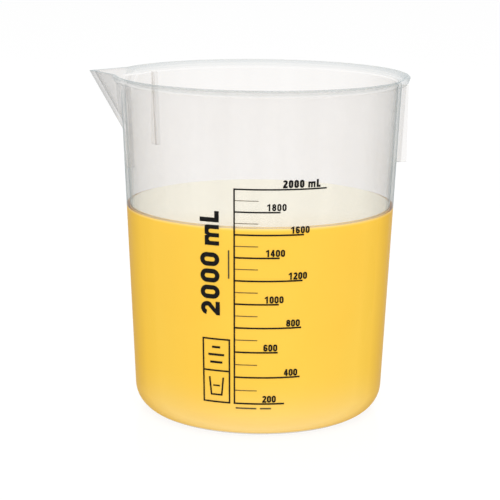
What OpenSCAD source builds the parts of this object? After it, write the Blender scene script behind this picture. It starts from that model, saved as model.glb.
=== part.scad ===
// Graduated plastic beaker with a pouring spout, stacking ribs and a fill of liquid.
// Millimetres. The origin is the centre of the base's underside, +Z is up.
// The spout points to -X and the printed scale faces -Y.

/* [Vessel] */

// Height from the underside to the top of the rim
vessel_height = 186; // [160:1:210]

// Radius of the outer wall carried down to the underside
foot_radius = 68.3; // [62:0.1:71]

// How much the outer wall widens from the underside up to the rim
wall_taper = 8.2; // [6:0.1:9]

// Thickness of the wall and the base
wall_thickness = 1.8; // [1.4:0.1:2.6]

// Radius of the rounded heel between the wall and the base
heel_radius = 14; // [8:1:18]

/* [Rim] */

// Outer radius of the rim lip
rim_radius = 80.7; // [79.7:0.1:82]

// Height of the rim lip
rim_height = 4; // [3:0.1:5]

// Bevel on the upper outer edge of the lip
rim_bevel = 0.6; // [0.3:0.1:1]

/* [Spout] */

// Distance of the spout's tip from the vessel's axis
spout_reach = 94.5; // [90:0.5:98]

// Height of the spout's keel from where it leaves the wall to its tip
spout_depth = 34; // [26:1:38]

// Half of the angle that the spout takes up on the rim
spout_half_angle = 14.5; // [11:0.5:18]

/* [Stacking ribs] */

// Distance of the ribs' outer edges from the vessel's axis
rib_reach = 79.8; // [79.4:0.1:80]

// Depth of the ribs' lower ends below the rim
rib_drop = 46.5; // [35:0.5:60]

// Thickness of each rib's outer fin
rib_thickness = 1.2; // [1:0.1:1.8]

// Thickness of each rib's root, which runs down the wall
root_thickness = 3; // [2.2:0.1:4]

// How far each root stands out from the wall just under the lip
root_depth = 2.4; // [1.5:0.1:2.8]

// Angle from the spout to the rib on each side of it
rib_angle = 33; // [25:1:60]

/* [Liquid] */

// Height of the liquid's surface above the underside
liquid_level = 115.5; // [60:0.5:130]

// Room left between the liquid and the plastic around it
liquid_gap = 0.3; // [0.3:0.1:0.5]

/* [Print] */

// Direction of the scale's upright line, anticlockwise from +X seen from above
scale_direction = -95.2; // [-110:0.1:-80]

// Height of the 200 line
first_mark = 20.8; // [18:0.1:24]

// Rise from the 200 line to the 400 line
first_step = 14.4; // [13.8:0.1:15]

// The rise between lines that the steps shrink towards, going up
least_step = 11.5; // [11:0.1:12]

// Share of a step's rise above the least that is left in the next step up
step_ratio = 0.76; // [0.6:0.01:0.8]

// Thickness of the ink film
ink_thickness = 0.2; // [0.15:0.05:0.4]

// Width of the main lines
line_width = 0.8; // [0.6:0.1:1]

// Width of the half-step ticks
tick_width = 0.35; // [0.3:0.05:0.6]

// Length of the 2000 line
top_line = 46.7; // [45:0.1:50]

// Length of the 400, 800, 1200 and 1600 lines
long_line = 35.3; // [33:0.1:40]

// Length of the 600, 1000, 1400 and 1800 lines
short_line = 23; // [18:0.1:25]

// Length of the half-step ticks
half_line = 12.1; // [8:0.1:14]

// Height of the numbers beside the lines
numeral_height = 3.7; // [3:0.1:4]

// Height of the large capacity figures
capacity_height = 10.5; // [9:0.1:10.8]

/* [Hidden] */

$fn = 96;

plastic = [0.92, 0.92, 0.91, 0.45];
yellow = [1, 0.79, 0.27];
ink = [0.03, 0.03, 0.03];

taper_angle = atan(wall_taper / vessel_height);
rim_base = vessel_height - rim_height;
rib_bottom = vessel_height - rib_drop;
heel_tangent = heel_radius * (1 - sin(taper_angle));
heel_centre = wall_radius(heel_tangent) - heel_radius * cos(taper_angle);
wall_top = rim_base + 1;
print_radius = wall_radius(vessel_height * 0.42);
figure_gap = numeral_height * 0.11;

// Where two ink lines meet, one stops this far short, too little to see
hair = 0.02;

// Outer radius of the tapered wall at a height
function wall_radius(z) = foot_radius + wall_taper * z / vessel_height;

// Height of the scale's line number n, where 1 is 200 and 10 is 2000
function mark_height(n) =
    first_mark + least_step * (n - 1)
    + (first_step - least_step) * (1 - pow(step_ratio, n - 1)) / (1 - step_ratio);

// Height midway between line n and the one above it
function half_height(n) = (mark_height(n) + mark_height(n + 1)) / 2;

// Length of line number n
function mark_length(n) =
    n == 10 ? top_line : n == 1 ? short_line + 4 : n % 2 == 0 ? long_line : short_line;

// Where the number above line n starts along the line
function numeral_start(n) =
    n == 10 ? top_line - 22.8 : n % 2 == 0 ? long_line - 9.3 + n * 0.3 : short_line - 8 + n * 0.13;

// Height of the number above line n, where the top one is larger
function numeral_size(n) = numeral_height * (n == 10 ? 1.12 : 1);

// Width of one of its figures
function numeral_width(n) = numeral_size(n) * 0.58;

// Thickness of its strokes, where the top one is bolder
function numeral_stroke(n) = numeral_size(n) * (n == 10 ? 0.26 : 0.22);

// Height of the middle of the number above line n
function numeral_middle(n) = mark_height(n) + line_width / 2 + 0.35 + numeral_size(n) / 2;

// Points along an arc whose centre is at a height y
function arc_points(r, y, start, end) = [
    for (i = [0 : 9])
        let (a = start + (end - start) * i / 9)
            [r * cos(a), y + r * sin(a)]
];

// Direction of a point given as an arc length along the wall from the scale's upright line
function direction(arc) = scale_direction + arc * 180 / (PI * print_radius);

// The figures of a volume in millilitres, three or four of them
function figures(volume) = concat(
    volume >= 1000 ? [floor(volume / 1000)] : [],
    [floor(volume / 100) % 10, floor(volume / 10) % 10, volume % 10]
);

// ---- Vessel ----

// Half of the wall's section filled to the axis, moved in from the outer surface by a depth
module wall_section(depth) {
    side = depth / cos(taper_angle);
    reach = heel_radius - depth;
    union() {
        polygon([
            [0, depth],
            [heel_centre, depth],
            [heel_centre + reach * cos(taper_angle), heel_radius - reach * sin(taper_angle)],
            [wall_radius(wall_top) - side, wall_top],
            [0, wall_top]
        ]);
        translate([heel_centre, heel_radius])
            circle(reach);
    }
}

// Half of the lip's section filled to the axis
module lip_section() {
    polygon([
        [0, rim_base],
        [rim_radius - 1.2, rim_base],
        [rim_radius, vessel_height - rim_bevel],
        [rim_radius - rim_bevel, vessel_height],
        [0, vessel_height]
    ]);
}

// The flared mouth inside the lip, from the top of the straight wall
module mouth_section() {
    side = wall_thickness / cos(taper_angle);
    polygon([
        [0, rim_base],
        [wall_radius(rim_base) - side, rim_base],
        [wall_radius(wall_top) - side, wall_top],
        [rim_radius - rim_bevel - 0.9, vessel_height],
        [rim_radius - rim_bevel - 0.9, vessel_height + 1],
        [0, vessel_height + 1]
    ]);
}

// A prism whose edge is the spout's keel, its two sides moved in by a depth
module keel_prism(depth) {
    foot = wall_radius(vessel_height - spout_depth);
    tilt = atan((spout_reach - foot) / spout_depth);
    back = spout_reach - rim_radius * cos(spout_half_angle);
    half = atan(rim_radius * sin(spout_half_angle) / (back * cos(tilt)));
    translate([-spout_reach, 0, vessel_height])
        rotate([0, -tilt, 0])
            translate([depth / sin(half), 0, -90])
                linear_extrude(height = 150)
                    polygon([[0, 0], [45, 45 * tan(half)], [45, -45 * tan(half)]]);
}

module spout_block(depth, low, high) {
    intersection() {
        keel_prism(depth);
        translate([-spout_reach - 5, -60, low])
            cube([spout_reach - 50, 120, high - low]);
    }
}

// A stacking rib: a thin fin standing on a thicker root that widens towards the lip
module rib(angle) {
    inner = wall_radius(rib_bottom) - 1;
    rotate([0, 0, angle]) {
        translate([inner, -rib_thickness / 2, rib_bottom])
            cube([rib_reach - inner, rib_thickness, wall_top - rib_bottom]);
        translate([0, root_thickness / 2, 0])
            rotate([90, 0, 0])
                linear_extrude(height = root_thickness)
                    polygon([
                        [inner, rib_bottom],
                        [wall_radius(rib_bottom) + root_depth * 0.58, rib_bottom],
                        [wall_radius(wall_top) + root_depth, wall_top],
                        [inner, wall_top]
                    ]);
    }
}

module beaker_body() {
    color(plastic)
        difference() {
            union() {
                rotate_extrude() {
                    wall_section(0);
                    lip_section();
                }
                rib(0);
                rib(180 - rib_angle);
                rib(180 + rib_angle);
                spout_block(0, 125, vessel_height);
            }
            rotate_extrude() {
                wall_section(wall_thickness);
                mouth_section();
            }
            spout_block(wall_thickness, 128, vessel_height + 3);
        }
}

module liquid() {
    color(yellow)
        rotate_extrude()
            intersection() {
                wall_section(wall_thickness + liquid_gap);
                square([rim_radius, liquid_level]);
            }
}

// ---- Print ----

// A curved patch of ink between two arc lengths and two heights
module ink_patch(arc_from, arc_to, low, high) {
    rotate([0, 0, direction(arc_from)])
        rotate_extrude(angle = direction(arc_to) - direction(arc_from))
            polygon([
                [wall_radius(low), low],
                [wall_radius(low) + ink_thickness, low],
                [wall_radius(high) + ink_thickness, high],
                [wall_radius(high), high]
            ]);
}

// A line of ink up the wall
module upright_line(arc, low, high, width) {
    ink_patch(arc - width / 2, arc + width / 2, low, high);
}

// A line of ink around the wall
module level_line(arc_from, arc_to, z, width) {
    ink_patch(arc_from, arc_to, z - width / 2, z + width / 2);
}

// A flat shape laid on the wall, kept within a width and height centred on a point
module printed(arc, z, width, height) {
    intersection() {
        ink_patch(arc - width / 2 - 1, arc + width / 2 + 1, z - height / 2 - 1, z + height / 2 + 1);
        rotate([0, 0, direction(arc)])
            translate([print_radius - 6, 0, z])
                rotate([90, 0, 90])
                    linear_extrude(height = 12)
                        children();
    }
}

// Figures and letters are drawn centred, w wide and h high, with strokes s thick

// A round-ended slot shape
module slot_shape(w, h) {
    union() {
        translate([0, h / 2 - w / 2])
            circle(r = w / 2, $fn = 20);
        translate([0, w / 2 - h / 2])
            circle(r = w / 2, $fn = 20);
        square([w, h - w], center = true);
    }
}

module ring_shape(w, h, s) {
    difference() {
        slot_shape(w, h);
        slot_shape(w - 2 * s, h - 2 * s);
    }
}

module figure_1(w, h, s) {
    left = -s * 0.2;
    polygon([
        [left, -h / 2],
        [left + s, -h / 2],
        [left + s, h / 2],
        [left + s * 0.3, h / 2],
        [-w * 0.46, h * 0.3],
        [-w * 0.46, h * 0.13],
        [left, h * 0.24]
    ]);
}

module figure_2(w, h, s) {
    r = w / 2;
    top = h / 2 - r;
    polygon(concat(
        arc_points(r, top, 170, -35),
        [
            [s * 1.35 - r, s * 0.95 - h / 2],
            [r, s * 0.95 - h / 2],
            [r, -h / 2],
            [-r, -h / 2],
            [-r, s * 0.75 - h / 2]
        ],
        arc_points(r - s, top, -42, 170)
    ));
}

module figure_4(w, h, s) {
    stem = w * 0.32 - s;
    bar = -h * 0.3;
    slope = h * 0.72 / (stem + w * 0.47);
    difference() {
        polygon([
            [-w / 2, bar],
            [stem, bar],
            [stem, -h / 2],
            [stem + s, -h / 2],
            [stem + s, bar],
            [w / 2, bar],
            [w / 2, bar + s * 0.85],
            [stem + s, bar + s * 0.85],
            [stem + s, h / 2],
            [stem, h / 2],
            [-w / 2, bar + s * 0.95]
        ]);
        polygon([
            [stem - (h * 0.34 - s * 0.5) / slope, bar + s * 0.85],
            [stem, bar + s * 0.85],
            [stem, bar + s * 0.85 + h * 0.34 - s * 0.5]
        ]);
    }
}

module figure_6(w, h, s) {
    union() {
        translate([0, -h * 0.19])
            ring_shape(w, h * 0.62, s);
        difference() {
            ring_shape(w, h, s);
            translate([0, -h])
                square([w, h * 1.24]);
        }
    }
}

module figure_8(w, h, s) {
    union() {
        translate([0, h * 0.22])
            ring_shape(w * 0.94, h * 0.56, s);
        translate([0, -h * 0.19])
            ring_shape(w, h * 0.62, s);
    }
}

module figure(n, w, h, s) {
    if (n == 0) ring_shape(w, h, s);
    if (n == 1) figure_1(w, h, s);
    if (n == 2) figure_2(w, h, s);
    if (n == 4) figure_4(w, h, s);
    if (n == 6) figure_6(w, h, s);
    if (n == 8) figure_8(w, h, s);
}

// A small m, standing on the line that a capital h high stands on
module letter_m(w, h, s) {
    foot = -h / 2;
    body = h * 0.74;
    gap = (w - 3 * s) / 2;
    round = gap / 2;
    spring = foot + body - s - round;
    difference() {
        polygon([
            [-w / 2, foot],
            [w / 2, foot],
            [w / 2, foot + body - round * 0.9],
            [w / 2 - round * 0.35, foot + body - round * 0.2],
            [w / 2 - round, foot + body],
            [-w / 2, foot + body]
        ]);
        for (side = [-1, 1])
            translate([side * (gap + s) / 2, 0])
                polygon(concat(
                    [[gap / 2, foot - 1], [gap / 2, spring]],
                    arc_points(round, spring, 12, 168),
                    [[-gap / 2, spring], [-gap / 2, foot - 1]]
                ));
        translate([0, foot + body])
            polygon([[-s * 0.35, 0.5], [0, -s * 0.55], [s * 0.35, 0.5]]);
    }
}

module letter_l(w, h, s) {
    polygon([
        [-w / 2, -h / 2],
        [w / 2, -h / 2],
        [w / 2, s - h / 2],
        [s - w / 2, s - h / 2],
        [s - w / 2, h / 2],
        [-w / 2, h / 2]
    ]);
}

module scale_lines() {
    color(ink) {
        upright_line(
            0,
            mark_height(1) - line_width / 2,
            mark_height(10) + line_width / 2,
            line_width
        );
        for (n = [1 : 10])
            level_line(line_width / 2 + hair, mark_length(n), mark_height(n), line_width);
    }
}

module half_ticks() {
    color(ink)
        for (n = [1 : 9])
            level_line(line_width / 2 + hair, half_line, half_height(n), tick_width);
}

module scale_numerals() {
    color(ink)
        for (n = [1 : 10])
            for (i = [0 : len(figures(200 * n)) - 1])
                printed(
                    numeral_start(n) + numeral_width(n) / 2 + i * (numeral_width(n) + figure_gap),
                    numeral_middle(n),
                    numeral_width(n),
                    numeral_size(n)
                )
                    figure(
                        figures(200 * n)[i],
                        numeral_width(n),
                        numeral_size(n),
                        numeral_stroke(n)
                    );
}

module unit_mark() {
    h = numeral_size(10);
    z = numeral_middle(10);
    color(ink) {
        printed(top_line - 8.1, z, h, h)
            letter_m(h * 0.93, h, h * 0.22);
        printed(top_line - 4.5, z, h * 0.6, h)
            letter_l(h * 0.52, h, h * 0.26);
    }
}

// The capacity in large figures, reading up the wall
module capacity_mark() {
    h = capacity_height;
    w = h * 0.68;
    s = h * 0.225;
    arc = -13;
    pitch = w * 1.22;
    start = 68.2 + w / 2;
    color(ink) {
        for (i = [0 : 3])
            printed(arc, start + i * pitch, h, w)
                rotate([0, 0, 90])
                    figure(figures(2000)[i], w, h, s);
        printed(arc, start + 3.5 * pitch + h * 0.81, h, h)
            rotate([0, 0, 90])
                letter_m(h * 1.02, h, s * 0.9);
        printed(arc, start + 3.5 * pitch + h * 1.74, h, w)
            rotate([0, 0, 90])
                letter_l(h * 0.56, h, s);
    }
}

module panel_frame() {
    left = -17.3;
    right = -2.7;
    low = first_mark;
    high = first_mark + 34.4;
    edge = line_width / 2;
    color(ink) {
        upright_line(left, low - edge, high + edge, line_width);
        upright_line(right, low - edge, high + edge, line_width);
        for (z = [low, (low + high) / 2, high])
            level_line(left + edge + hair, right - edge - hair, z, line_width);
    }
}

// Three plain bars above, and the outline of a half-full cup below
module panel_symbols() {
    middle = -10;
    cup = first_mark + 8.6;
    color(ink) {
        for (i = [0 : 2])
            level_line(
                middle - [2.2, 4.4, 3.4][i],
                middle + [2.2, 4.4, 3.4][i],
                first_mark + 30 - i * 4.1,
                1.1
            );
        printed(middle, cup, 9, 11)
            difference() {
                polygon([[-3.2, -5], [3.2, -5], [4.2, 5], [-4.2, 5]]);
                polygon([[-2.5, -4.2], [2.5, -4.2], [3.4, 5.5], [-3.4, 5.5]]);
            }
        level_line(middle - 1.9, middle + 1.9, cup + 0.4, 0.7);
    }
}

// Plain bars under the scale and beside the large capacity figures
module note_bar() {
    color(ink) {
        upright_line(-2.9, mark_height(6) + 0.9, mark_height(7) + 3.7, 0.7);
        level_line(0.7, 11.9, first_mark - 2.6, 0.7);
        level_line(13.9, 19.9, first_mark - 2.6, 0.7);
    }
}

beaker_body();
liquid();
scale_lines();
half_ticks();
scale_numerals();
unit_mark();
capacity_mark();
panel_frame();
panel_symbols();
note_bar();
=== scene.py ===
"""The look of the graduated beaker: plastic, liquid and ink materials, a white studio and the camera."""

import math

import bpy
from mathutils import Matrix, Vector


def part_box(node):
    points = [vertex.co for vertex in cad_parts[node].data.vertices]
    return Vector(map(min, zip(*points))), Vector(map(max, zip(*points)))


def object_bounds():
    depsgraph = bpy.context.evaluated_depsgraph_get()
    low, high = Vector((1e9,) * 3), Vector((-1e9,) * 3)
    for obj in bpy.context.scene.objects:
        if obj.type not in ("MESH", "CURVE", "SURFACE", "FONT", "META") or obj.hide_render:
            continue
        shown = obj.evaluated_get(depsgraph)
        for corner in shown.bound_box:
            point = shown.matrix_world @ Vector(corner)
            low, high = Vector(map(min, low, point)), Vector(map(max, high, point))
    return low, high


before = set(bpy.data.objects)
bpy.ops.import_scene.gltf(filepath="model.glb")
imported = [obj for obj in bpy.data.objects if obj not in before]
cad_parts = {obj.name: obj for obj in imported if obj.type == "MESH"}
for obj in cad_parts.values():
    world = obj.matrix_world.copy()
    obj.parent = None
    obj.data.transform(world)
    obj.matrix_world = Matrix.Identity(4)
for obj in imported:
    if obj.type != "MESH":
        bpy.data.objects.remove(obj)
cad_low, cad_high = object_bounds()


# ---- Node helpers ----


def new_material(name):
    mat = bpy.data.materials.new(name)
    mat.use_nodes = True
    mat.node_tree.nodes.clear()
    return mat


def add(tree, kind):
    return tree.nodes.new(kind)


def link(tree, source, target):
    tree.links.new(source, target)


def noise(tree, coords, scale, detail=3.0, stretch=(1, 1, 1)):
    """A noise pattern on object coordinates, its features about 1/scale metres across."""
    mapping = add(tree, "ShaderNodeMapping")
    mapping.inputs["Scale"].default_value = stretch
    link(tree, coords, mapping.inputs["Vector"])
    tex = add(tree, "ShaderNodeTexNoise")
    tex.inputs["Scale"].default_value = scale
    tex.inputs["Detail"].default_value = detail
    link(tree, mapping.outputs["Vector"], tex.inputs["Vector"])
    return tex.outputs["Fac"]


def remap(tree, value, low, high, from_low=0.0, from_high=1.0):
    """Goes from low to high as the value goes from from_low to from_high, and is held beyond."""
    node = add(tree, "ShaderNodeMapRange")
    node.clamp = True
    node.inputs["From Min"].default_value = from_low
    node.inputs["From Max"].default_value = from_high
    node.inputs["To Min"].default_value = low
    node.inputs["To Max"].default_value = high
    link(tree, value, node.inputs["Value"])
    return node.outputs["Result"]


def arithmetic(tree, operation, a, b, clamp=False):
    """One sum on two values, each a socket or a number."""
    node = add(tree, "ShaderNodeMath")
    node.operation = operation
    node.use_clamp = clamp
    for socket, value in zip(node.inputs, (a, b)):
        if isinstance(value, (int, float)):
            socket.default_value = value
        else:
            link(tree, value, socket)
    return node.outputs["Value"]


def multiply(tree, a, b):
    return arithmetic(tree, "MULTIPLY", a, b)


def mix_colour(tree, factor, a, b):
    """From colour a at factor 0 to colour b at factor 1."""
    node = add(tree, "ShaderNodeMix")
    node.data_type = "RGBA"
    for name, value in (("Factor", factor), ("A", a), ("B", b)):
        sockets = [s for s in node.inputs if s.name == name and s.enabled]
        socket = sockets[-1] if name != "Factor" else sockets[0]
        if isinstance(value, (int, float)):
            socket.default_value = value
        elif isinstance(value, tuple):
            socket.default_value = (*value, 1.0)
        else:
            link(tree, value, socket)
    return [s for s in node.outputs if s.enabled][0]


def bump(tree, height, strength, distance):
    node = add(tree, "ShaderNodeBump")
    node.inputs["Strength"].default_value = strength
    node.inputs["Distance"].default_value = distance
    link(tree, height, node.inputs["Height"])
    return node.outputs["Normal"]


# ---- Materials ----

# Heights and radii in metres, on the CAD.
RIM_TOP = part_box("beaker_body")[1][2]
LIP_DEPTH = 0.004
LIP_UNDERSIDE = RIM_TOP - LIP_DEPTH
RIB_DEPTH = 0.0465
RIB_BOTTOM = RIM_TOP - RIB_DEPTH
WALL_RADIUS_LOW = 0.0683
WALL_RADIUS_HIGH = 0.0765
LIQUID_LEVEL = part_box("liquid")[1][2]

# The liquid's flat top is told from its side by height, between these two.
SIDE_ENDS = LIQUID_LEVEL - 0.0002
TOP_STARTS = LIQUID_LEVEL - 0.0001
# Under it the side turns pale, painted light: not at all up to the first height below, and the most from
# the second up.
TOP_LIGHT_STARTS = LIQUID_LEVEL - 0.0020
TOP_LIGHT_MOST = LIQUID_LEVEL - 0.0007
# The wall has the liquid's tint between the base plate and just below the liquid's level.
TINT_GONE_BELOW = 0.0014
TINT_FULL_ABOVE = 0.0030
TINT_FULL_BELOW = LIQUID_LEVEL - 0.0007
TINT_GONE_ABOVE = LIQUID_LEVEL - 0.0005
# The liquid is palest, painted light, at the first height below and has its own colour from the second
# up.
BASE_LIGHT_MOST = 0.001
BASE_LIGHT_GONE = 0.040
# The grey of the wall's edges, partly the longer path through the plastic and partly painted shade, is
# faint under EDGE_FAINT and whole from EDGE_WHOLE up.
EDGE_FAINT = 0.002
EDGE_WHOLE = 0.010
# The spout begins at this X on the wall and is wholly spout from the second outward.
SPOUT_BEGINS = -0.0765
SPOUT_WHOLE = -0.080
# Half widths of the spout's hazy keel: hazy within the first and plain beyond the second.
KEEL_HAZY = 0.0010
KEEL_PLAIN = 0.0034
# How far out from the wall's face a rib's root lies: from the first pair to the second.
ROOT_STARTS = (0.0001, 0.0003)
ROOT_ENDS = (0.0022, 0.0025)
# How far from the height of the lip's underside the plastic is nearly clear, then plain: painted light,
# a bright line where the lip's underside catches light.
LIP_LIGHT_FULL_WITHIN = 0.0003
LIP_LIGHT_GONE_BEYOND = 0.0007
LIP_WHOLE = LIP_UNDERSIDE + 0.0006
TOP_EDGE_STARTS = LIP_UNDERSIDE + 0.0026
TOP_EDGE_WHOLE = LIP_UNDERSIDE + 0.0036
# Y of the scale's side of the wall, where the haze is thickest as painted shade, with its other sign at
# the back, where it is thinnest as painted light.
SCALE_SIDE = -0.06

# Half the height over which the steps at the wall's edges change where the ribs end.
RIB_BLEND = 0.0015
# Outward from the wall's outer face, with minus meaning inward: a point counts as on the inner
# face up to the first and as on the outer face from the second.
INNER_FACE = -0.0015
OUTER_FACE = -0.0003

# The noise patterns mostly lie between these two values.
NOISE_RANGE = (0.3, 0.7)
CLOUD_RANGE = (0.35, 0.65)
INK_RANGE = (0.4, 0.75)

# Ranges of grazing, from 0 face on to 1 edge on, over which each effect comes in.
FIRST_STEP_RANGE = (0.73, 0.81)
SECOND_STEP_RANGE = (0.84, 0.94)
# Painted shade: over this range the yellow deepens toward the outline.
SIDE_SHADE_RANGE = (0.42, 0.92)
TOP_SHINE_RANGE = (0.75, 0.81)
# Powers of grazing: the higher, the closer to the outline the effect stays.
SLOW_RISE_POWER = 2.2
WET_POWER = 3.0
EDGE_SHADE_POWER = 3.5
# Power of the ramp from the liquid's own colour to its palest at the base, a ramp of painted light.
BASE_LIGHT_POWER = 2.5

# Shares of solid plastic, where 0 is clear. A pair is the two ends of a ramp.
WALL_HAZE = (0.073, 0.101)
STREAK_HAZE = (-0.012, 0.012)
# Painted shade on the scale's side, which faces the camera, and painted light at the back.
FRONT_SHADE_TO_BACK_LIGHT = (0.026, -0.036)
KEEL_HAZE = (0.30, 0.07)
LIP_HAZE = 0.07
TOP_EDGE_HAZE = 0.09
ROOT_HAZE = 0.16
FIRST_STEP = 0.18
SECOND_STEP = 0.33
SLOW_RISE = 0.30
WET_SHARE = 0.80
# Factors that make those shares smaller in places.
# Painted light: at the lip's underside the share falls to this, leaving a bright line.
LIP_LIGHT_SHARE = 0.15
STEPS_AT_RIBS = 0.60
EDGE_ON_RIM = 0.65
# Near the base the edges' grey, partly painted shade, falls to this part.
EDGE_NEAR_BASE = 0.2
# How far a colour goes toward another.
LIP_GREY_SHARE = 0.5
# Painted light just under the liquid's level: its strength, then its part on the wall's outer face.
TOP_LIGHT_SHARE = 0.95
OUTER_TOP_LIGHT_SHARE = 0.30

YELLOW = (1.0, 0.620, 0.075)
YELLOW_SWIRL = (1.0, 0.648, 0.090)
# Painted light: the paler yellow toward the base.
YELLOW_LIT_NEAR_BASE = (0.99, 0.74, 0.32)
# Painted shade: the deeper, darker yellow toward the outline.
YELLOW_SHADED_AT_SIDES = (0.72, 0.405, 0.022)
# Painted light: the paler yellow just under the liquid's level.
YELLOW_LIT_UNDER_TOP = (1.0, 0.91, 0.60)
TOP_SHINE = (1, 0.98, 0.86, 1)
HAZE_DARK = (0.47, 0.465, 0.46)
HAZE_LIGHT = (0.53, 0.525, 0.52)
LIP_GREY = (0.42, 0.51, 0.54)
# Painted shade: the grey toward the wall's outline.
EDGE_SHADE_GREY = (0.20, 0.29, 0.32)
CLEAR_TINT = (1.0, 0.994, 0.989, 1)
PLASTIC_IOR = 1.49
LIQUID_IOR = 1.34
DRY_TO_WET_SPECULAR = (0.06, 0.01)
INK_SPECULAR = 0.08
PLASTIC_ROUGHNESS = (0.24, 0.36)
LIQUID_ROUGHNESS = (0.05, 0.12)
TOP_ROUGHNESS = (0.06, 0.10)
INK_ROUGHNESS = (0.55, 0.75)
FLOOR_ROUGHNESS = (0.04, 0.08)


def grazing(tree, power):
    """0 where the surface faces the eye and 1 where it is seen edge on, raised to a power."""
    weight = add(tree, "ShaderNodeLayerWeight")
    weight.inputs["Blend"].default_value = 0.5
    return arithmetic(tree, "POWER", weight.outputs["Facing"], power)


def distance_from_axis(tree, coords):
    """Distance from the vertical axis."""
    flat = add(tree, "ShaderNodeVectorMath")
    flat.operation = "MULTIPLY"
    flat.inputs[1].default_value = (1, 1, 0)
    link(tree, coords, flat.inputs[0])
    length = add(tree, "ShaderNodeVectorMath")
    length.operation = "LENGTH"
    link(tree, flat.outputs["Vector"], length.inputs[0])
    return length.outputs["Value"]


def wall_radius(tree, height):
    """Radius of the tapered wall's outer face at a height."""
    return remap(tree, height, WALL_RADIUS_LOW, WALL_RADIUS_HIGH, 0.0, RIM_TOP)


def liquid_colour(tree, height, swirl, edge, top_light):
    """The liquid's yellow: paler near the base as painted light, deeper and darker by the factor edge as
    painted shade toward the outline, and pale just under its surface by the factor top_light as painted
    light."""
    deep = mix_colour(tree, remap(tree, swirl, 0.0, 1.0, *NOISE_RANGE), YELLOW, YELLOW_SWIRL)
    # Painted light: the liquid pales toward the base.
    base_light = remap(tree, height, 1.0, 0.0, BASE_LIGHT_MOST, BASE_LIGHT_GONE)
    low = arithmetic(tree, "POWER", base_light, BASE_LIGHT_POWER)
    lit_near_base = mix_colour(tree, low, deep, YELLOW_LIT_NEAR_BASE)
    # Painted shade: deeper and darker toward the outline.
    body = mix_colour(tree, edge, lit_near_base, YELLOW_SHADED_AT_SIDES)
    # Painted light: the side pales just under the surface.
    top_light_ramp = remap(tree, height, 0.0, TOP_LIGHT_SHARE, TOP_LIGHT_STARTS, TOP_LIGHT_MOST)
    not_top = remap(tree, height, 1.0, 0.0, SIDE_ENDS, TOP_STARTS)
    painted_top_light = multiply(tree, multiply(tree, top_light_ramp, not_top), top_light)
    return mix_colour(tree, painted_top_light, body, YELLOW_LIT_UNDER_TOP)


def haze_and_shade_share(tree, parts, outward, clouds, flow, in_spout, on_lip):
    """How hazy the dry plastic is where the eye meets it squarely: cloudy and streaked, hazier in the
    spout's keel, on the lip, on its top edge and on the ribs' roots, with painted shade as more haze on
    the scale's side and painted light as less haze at the back."""
    height = parts.outputs["Z"]
    from_keel = arithmetic(tree, "ABSOLUTE", parts.outputs["Y"], 0.0)
    keel = remap(tree, from_keel, *KEEL_HAZE, KEEL_HAZY, KEEL_PLAIN)
    top_edge = remap(tree, height, 0.0, TOP_EDGE_HAZE, TOP_EDGE_STARTS, TOP_EDGE_WHOLE)
    root = multiply(
        tree,
        remap(tree, outward, 0.0, ROOT_HAZE, *ROOT_STARTS),
        remap(tree, outward, 1.0, 0.0, *ROOT_ENDS),
    )
    haze_and_shade = remap(tree, clouds, *WALL_HAZE, *NOISE_RANGE)
    for term in (
        remap(tree, flow, *STREAK_HAZE, *NOISE_RANGE),
        remap(tree, parts.outputs["Y"], *FRONT_SHADE_TO_BACK_LIGHT, SCALE_SIDE, -SCALE_SIDE),
        multiply(tree, in_spout, keel),
        multiply(tree, on_lip, LIP_HAZE),
        top_edge,
        root,
    ):
        haze_and_shade = arithmetic(tree, "ADD", haze_and_shade, term)
    return haze_and_shade


def edge_share(tree, height, facing, off_rim):
    """What the dry plastic adds where it is seen edge on, partly the longer path through the plastic and
    partly painted shade: two steps toward the outline, fainter at the ribs' height, and a slow rise, all
    of it fainter on the rim and near the base."""
    first_step = remap(tree, facing, 0.0, FIRST_STEP, *FIRST_STEP_RANGE)
    second_step = remap(tree, facing, 0.0, SECOND_STEP, *SECOND_STEP_RANGE)
    steps = arithmetic(tree, "ADD", first_step, second_step)
    rib_ends = (RIB_BOTTOM - RIB_BLEND, RIB_BOTTOM + RIB_BLEND)
    at_ribs = remap(tree, height, 1.0, STEPS_AT_RIBS, *rib_ends)
    slow_rise = multiply(tree, grazing(tree, SLOW_RISE_POWER), SLOW_RISE)
    edge = arithmetic(tree, "ADD", multiply(tree, steps, at_ribs), slow_rise)
    off_base = remap(tree, height, EDGE_NEAR_BASE, 1.0, EDGE_FAINT, EDGE_WHOLE)
    return multiply(tree, multiply(tree, edge, off_rim), off_base)


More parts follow.
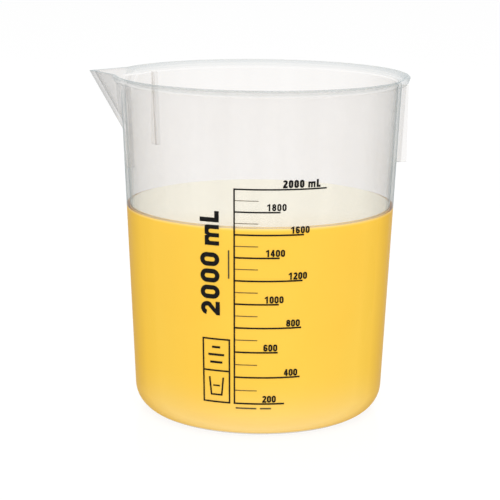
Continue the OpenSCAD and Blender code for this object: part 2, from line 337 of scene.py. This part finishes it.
def translucent_plastic():
    """Natural polypropylene: hazy, greyer where the eye passes through more of it, and taking the
    liquid's colour where the liquid wets the inside. It carries painted shade toward its outline and on
    the scale's side, and painted light at the back, at the lip's underside and just under the liquid's
    level."""
    mat = new_material("natural_polypropylene")
    tree = mat.node_tree
    coords = add(tree, "ShaderNodeTexCoord").outputs["Object"]
    split = add(tree, "ShaderNodeSeparateXYZ")
    link(tree, coords, split.inputs["Vector"])
    height = split.outputs["Z"]
    clouds = noise(tree, coords, scale=28.0, detail=4.0)
    flow = noise(tree, coords, scale=60.0, detail=2.0, stretch=(1, 1, 0.12))
    grain = noise(tree, coords, scale=1400.0, detail=2.0)
    swirl = noise(tree, coords, scale=14.0, detail=3.0)

    axis_distance = distance_from_axis(tree, coords)
    outward = arithmetic(tree, "SUBTRACT", axis_distance, wall_radius(tree, height))
    facing = grazing(tree, 1.0)
    below = remap(tree, height, 1.0, 0.0, TINT_FULL_BELOW, TINT_GONE_ABOVE)
    above_base = remap(tree, height, 0.0, 1.0, TINT_GONE_BELOW, TINT_FULL_ABOVE)
    wet = multiply(tree, below, above_base)

    in_spout = remap(tree, split.outputs["X"], 1.0, 0.0, SPOUT_WHOLE, SPOUT_BEGINS)
    at_lip = remap(tree, height, 0.0, 1.0, LIP_UNDERSIDE, LIP_WHOLE)
    on_lip = multiply(tree, arithmetic(tree, "SUBTRACT", 1.0, in_spout), at_lip)
    haze_and_shade = haze_and_shade_share(tree, split, outward, clouds, flow, in_spout, on_lip)
    off_rim = remap(tree, on_lip, 1.0, EDGE_ON_RIM)
    edge_on = edge_share(tree, height, facing, off_rim)
    dry_share = arithmetic(tree, "ADD", haze_and_shade, edge_on, clamp=True)
    # Painted light: at the height of the lip's underside the plastic is nearly clear, a bright line
    # where the underside catches light, except in the spout.
    from_underside = arithmetic(tree, "SUBTRACT", height, LIP_UNDERSIDE)
    off_underside = arithmetic(tree, "ABSOLUTE", from_underside, 0.0)
    painted_lip_light = remap(tree, off_underside, LIP_LIGHT_SHARE, 1.0, LIP_LIGHT_FULL_WITHIN, LIP_LIGHT_GONE_BEYOND)
    dry_share = multiply(tree, dry_share, arithmetic(tree, "ADD", painted_lip_light, in_spout, clamp=True))
    wet_share = arithmetic(tree, "ADD", grazing(tree, WET_POWER), WET_SHARE, clamp=True)
    share = add(tree, "ShaderNodeMix")
    link(tree, wet, share.inputs["Factor"])
    link(tree, dry_share, share.inputs["A"])
    link(tree, wet_share, share.inputs["B"])

    cloud_mix = remap(tree, clouds, 0.0, 1.0, *CLOUD_RANGE)
    dry = mix_colour(tree, cloud_mix, HAZE_DARK, HAZE_LIGHT)
    dry = mix_colour(tree, multiply(tree, on_lip, LIP_GREY_SHARE), dry, LIP_GREY)
    # Painted shade: the plastic greys toward the outline.
    edge_shade = multiply(tree, grazing(tree, EDGE_SHADE_POWER), off_rim)
    dry = mix_colour(tree, edge_shade, dry, EDGE_SHADE_GREY)
    # Painted shade: the liquid's tint on the wall deepens toward the outline.
    painted_side_shade = remap(tree, facing, 0.0, 1.0, *SIDE_SHADE_RANGE)
    # Painted light just under the liquid's level: whole on the inner face, weaker on the outer.
    top_light_share = remap(tree, outward, 1.0, OUTER_TOP_LIGHT_SHARE, INNER_FACE, OUTER_FACE)
    yellow = liquid_colour(tree, height, swirl, painted_side_shade, top_light_share)
    solid = add(tree, "ShaderNodeBsdfPrincipled")
    link(tree, mix_colour(tree, wet, dry, yellow), solid.inputs["Base Color"])
    link(tree, remap(tree, flow, *PLASTIC_ROUGHNESS, *NOISE_RANGE), solid.inputs["Roughness"])
    solid.inputs["IOR"].default_value = PLASTIC_IOR
    link(tree, remap(tree, wet, *DRY_TO_WET_SPECULAR), solid.inputs["Specular IOR Level"])
    link(tree, bump(tree, grain, strength=0.06, distance=0.0002), solid.inputs["Normal"])

    clear = add(tree, "ShaderNodeBsdfTransparent")
    clear.inputs["Color"].default_value = CLEAR_TINT
    mixed = add(tree, "ShaderNodeMixShader")
    link(tree, share.outputs["Result"], mixed.inputs["Fac"])
    link(tree, clear.outputs["BSDF"], mixed.inputs[1])
    link(tree, solid.outputs["BSDF"], mixed.inputs[2])
    link(tree, mixed.outputs["Shader"], add(tree, "ShaderNodeOutputMaterial").inputs["Surface"])
    return mat


def yellow_liquid():
    """A deep yellow liquid whose flat top turns pale with reflected light at low angles."""
    mat = new_material("yellow_liquid")
    tree = mat.node_tree
    coords = add(tree, "ShaderNodeTexCoord").outputs["Object"]
    height = add(tree, "ShaderNodeSeparateXYZ")
    link(tree, coords, height.inputs["Vector"])
    swirl = noise(tree, coords, scale=14.0, detail=3.0)
    ripple = noise(tree, coords, scale=55.0, detail=2.0)
    solid = add(tree, "ShaderNodeBsdfPrincipled")
    # Its colour carries painted light toward the base and just under its level.
    link(tree, liquid_colour(tree, height.outputs["Z"], swirl, 0.0, 1.0), solid.inputs["Base Color"])
    link(tree, remap(tree, swirl, *LIQUID_ROUGHNESS), solid.inputs["Roughness"])
    solid.inputs["IOR"].default_value = LIQUID_IOR
    link(tree, bump(tree, ripple, strength=0.04, distance=0.0005), solid.inputs["Normal"])
    shine = add(tree, "ShaderNodeBsdfGlossy")
    shine.inputs["Color"].default_value = TOP_SHINE
    link(tree, remap(tree, swirl, *TOP_ROUGHNESS), shine.inputs["Roughness"])
    on_top = remap(tree, height.outputs["Z"], 0.0, 1.0, SIDE_ENDS, TOP_STARTS)
    low_angle = remap(tree, grazing(tree, 1.0), 0.0, 1.0, *TOP_SHINE_RANGE)
    mixed = add(tree, "ShaderNodeMixShader")
    link(tree, multiply(tree, on_top, low_angle), mixed.inputs["Fac"])
    link(tree, solid.outputs["BSDF"], mixed.inputs[1])
    link(tree, shine.outputs["BSDF"], mixed.inputs[2])
    link(tree, mixed.outputs["Shader"], add(tree, "ShaderNodeOutputMaterial").inputs["Surface"])
    return mat


def printed_ink(name, dark, light):
    """Screen-print ink: slightly uneven cover and sheen."""
    mat = new_material(name)
    tree = mat.node_tree
    coords = add(tree, "ShaderNodeTexCoord").outputs["Object"]
    cover = noise(tree, coords, scale=700.0, detail=4.0)
    mesh = noise(tree, coords, scale=2600.0, detail=1.0)
    solid = add(tree, "ShaderNodeBsdfPrincipled")
    thinness = remap(tree, cover, 0.0, 1.0, *INK_RANGE)
    link(tree, mix_colour(tree, thinness, dark, light), solid.inputs["Base Color"])
    link(tree, remap(tree, cover, *INK_ROUGHNESS, *NOISE_RANGE), solid.inputs["Roughness"])
    solid.inputs["Specular IOR Level"].default_value = INK_SPECULAR
    link(tree, bump(tree, mesh, strength=0.1, distance=0.00005), solid.inputs["Normal"])
    link(tree, solid.outputs["BSDF"], add(tree, "ShaderNodeOutputMaterial").inputs["Surface"])
    return mat


FLOOR_GLOW = 0.90
FLOOR_GREY = (0.13, 0.13, 0.13, 1)
FLOOR_SHINE = 0.035
FLOOR_HALF = 12.0
FLOOR_GAP = 0.0002


def floor_material():
    """A lit white table top: its own light keeps it white, with a trace of shadow and reflection."""
    mat = new_material("white_table")
    tree = mat.node_tree
    coords = add(tree, "ShaderNodeTexCoord").outputs["Object"]
    glow = add(tree, "ShaderNodeEmission")
    glow.inputs["Strength"].default_value = FLOOR_GLOW
    matt = add(tree, "ShaderNodeBsdfDiffuse")
    matt.inputs["Color"].default_value = FLOOR_GREY
    both = add(tree, "ShaderNodeAddShader")
    link(tree, glow.outputs["Emission"], both.inputs[0])
    link(tree, matt.outputs["BSDF"], both.inputs[1])
    shine = add(tree, "ShaderNodeBsdfGlossy")
    clouds = noise(tree, coords, scale=40.0)
    link(tree, remap(tree, clouds, *FLOOR_ROUGHNESS), shine.inputs["Roughness"])
    mixed = add(tree, "ShaderNodeMixShader")
    mixed.inputs["Fac"].default_value = FLOOR_SHINE
    link(tree, both.outputs["Shader"], mixed.inputs[1])
    link(tree, shine.outputs["BSDF"], mixed.inputs[2])
    link(tree, mixed.outputs["Shader"], add(tree, "ShaderNodeOutputMaterial").inputs["Surface"])
    return mat


plastic = translucent_plastic()
liquid = yellow_liquid()
ink = printed_ink("black_ink", dark=(0.004, 0.004, 0.004), light=(0.012, 0.012, 0.012))
thin_ink = printed_ink("thin_ink", dark=(0.06, 0.05, 0.03), light=(0.12, 0.095, 0.055))

looks = {"beaker_body": plastic, "liquid": liquid, "half_ticks": thin_ink, "note_bar": thin_ink}
for name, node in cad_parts.items():
    material = looks.get(name, ink)
    if not node.material_slots:
        node.data.materials.append(material)
    for slot in node.material_slots:
        slot.material = material


# ---- Studio ----

floor_mesh = bpy.data.meshes.new("floor")
floor_corners = [(x * FLOOR_HALF, y * FLOOR_HALF, 0) for x, y in ((-1, -1), (1, -1), (1, 1), (-1, 1))]
floor_mesh.from_pydata(floor_corners, [], [(0, 1, 2, 3)])
floor = bpy.data.objects.new("floor", floor_mesh)
bpy.context.scene.collection.objects.link(floor)
floor.location.z = cad_low[2] - FLOOR_GAP
floor.data.materials.append(floor_material())

world = bpy.data.worlds.new("studio")
bpy.context.scene.world = world
world.use_nodes = True
sky = world.node_tree
sky_direction = add(sky, "ShaderNodeSeparateXYZ")
link(sky, add(sky, "ShaderNodeTexCoord").outputs["Generated"], sky_direction.inputs["Vector"])
# The white surround is full for the camera and a little over for shiny reflections. For any other
# light it is full in front and behind and dimmer toward the two sides.
SIDE_STRENGTH = 0.40
MIRRORED_STRENGTH = 1.05
# How far sideways a direction points, from 0 ahead to 1 at the side: where dimming starts and ends.
DIMMING_STARTS = 0.22
DIMMING_ENDS = 0.60
sideways = arithmetic(sky, "ABSOLUTE", sky_direction.outputs["X"], 0.0)
by_side = remap(sky, sideways, 1.0, SIDE_STRENGTH, DIMMING_STARTS, DIMMING_ENDS)
path = add(sky, "ShaderNodeLightPath")
mirrored = multiply(sky, path.outputs["Is Glossy Ray"], MIRRORED_STRENGTH)
seen = arithmetic(sky, "MAXIMUM", path.outputs["Is Camera Ray"], mirrored)
strength = arithmetic(sky, "MAXIMUM", seen, by_side)
link(sky, strength, sky.nodes["Background"].inputs["Strength"])
sky.nodes["Background"].inputs["Color"].default_value = (1, 1, 1, 1)


def softbox(name, place, target, width, height, power):
    """A flat rectangular lamp at a place, turned to face the target."""
    light = bpy.data.lights.new(name, "AREA")
    light.shape = "RECTANGLE"
    light.size = width
    light.size_y = height
    light.energy = power
    obj = bpy.data.objects.new(name, light)
    bpy.context.scene.collection.objects.link(obj)
    obj.location = place
    obj.rotation_euler = (Vector(target) - Vector(place)).to_track_quat("-Z", "Y").to_euler()


softbox("overhead", place=(0.0, 0.2, 1.6), target=(0, 0, 0), width=1.6, height=1.6, power=8.0)
softbox("front", place=(0.28, -1.9, 1.5), target=(0, 0, 0.08), width=2.0, height=1.4, power=30.5)

# ---- Camera ----

# The camera stands 5 degrees to the right of -Y as seen from the front.
AXIS_DISTANCE = 0.8766
CAMERA_HEIGHT = 0.2801
turn = math.radians(5.0)
pitch = math.radians(12.36)
roll = math.radians(0.6)
away = Vector((-math.sin(turn), math.cos(turn), 0))
right = Vector((math.cos(turn), math.sin(turn), 0))
forward = away * math.cos(pitch) - Vector((0, 0, 1)) * math.sin(pitch)
up = right.cross(forward)
right, up = (
    right * math.cos(roll) + up * math.sin(roll),
    up * math.cos(roll) - right * math.sin(roll),
)
data = bpy.data.cameras.new("camera")
data.lens = 116.28
data.sensor_width = 36.0
data.shift_x = -0.019
data.clip_start = 0.01
camera = bpy.data.objects.new("camera", data)
bpy.context.scene.collection.objects.link(camera)
place = -away * AXIS_DISTANCE + Vector((0, 0, CAMERA_HEIGHT))
camera.matrix_world = Matrix(
    (
        (right.x, up.x, -forward.x, place.x),
        (right.y, up.y, -forward.y, place.y),
        (right.z, up.z, -forward.z, place.z),
        (0, 0, 0, 1),
    )
)
bpy.context.scene.camera = camera
bpy.context.scene.view_settings.view_transform = "Standard"
